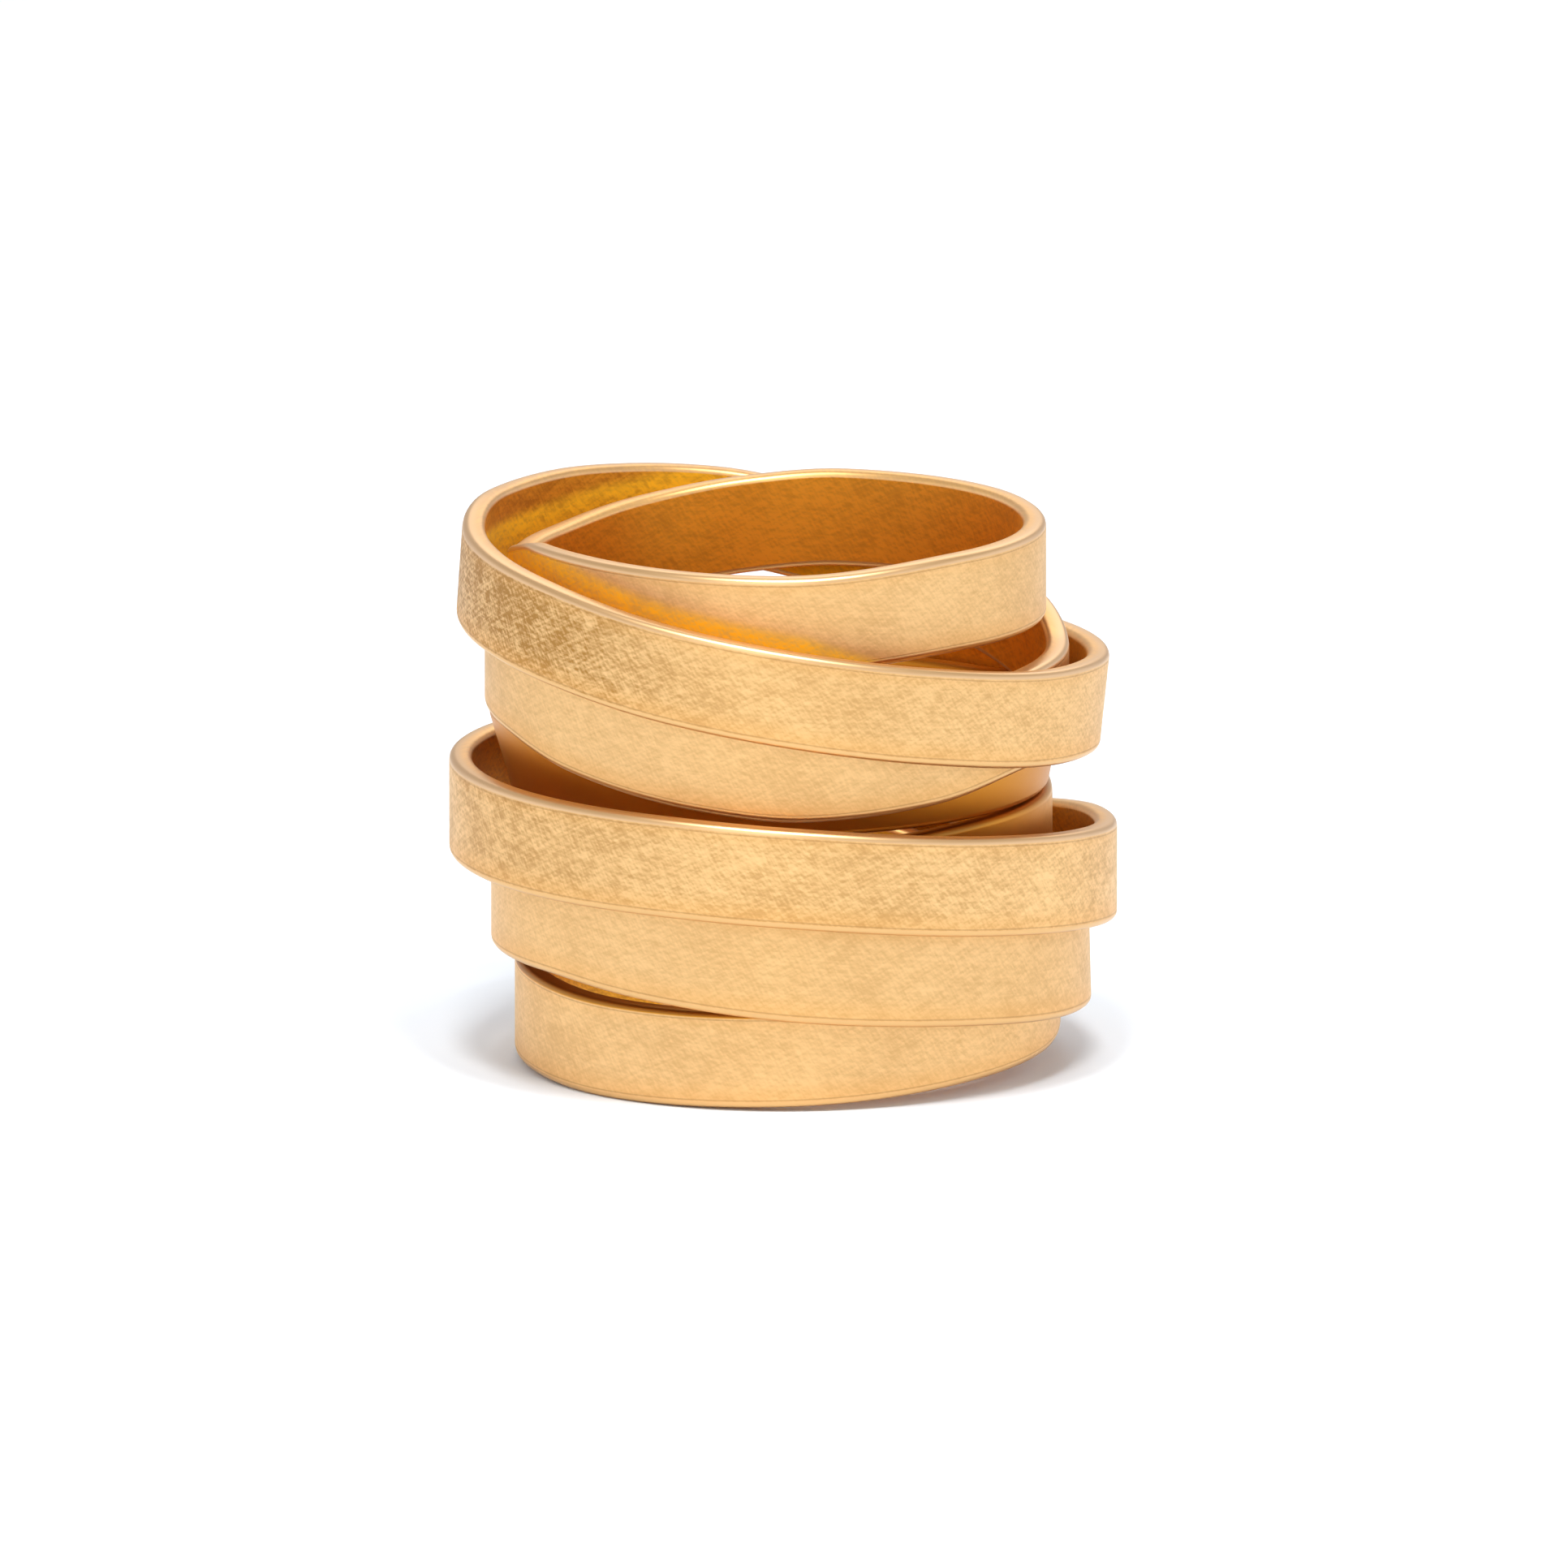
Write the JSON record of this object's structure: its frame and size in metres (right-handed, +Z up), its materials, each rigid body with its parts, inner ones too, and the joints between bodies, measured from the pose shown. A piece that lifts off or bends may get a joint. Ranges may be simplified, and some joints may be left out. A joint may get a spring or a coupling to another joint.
{
  "type": "wide wrap ring",
  "caption": "Wide finger ring of flat brushed gold strip, wound round in tilted loops that stand out from a round finger hole by different amounts.",
  "frame": {"origin": "middle of the ring's footprint, on the surface that it rests on", "axes": "+Z up along the axis of the finger hole, -Y towards the side that the picture shows"},
  "size_m": [0.0232, 0.0228, 0.0194],
  "materials": {
    "gold": "matte gold plating, finely cross-brushed on the faces and smooth on the rounded edges"
  },
  "bodies": {
    "root": {"wound_band": "gold"}
  },
  "joints": []
}
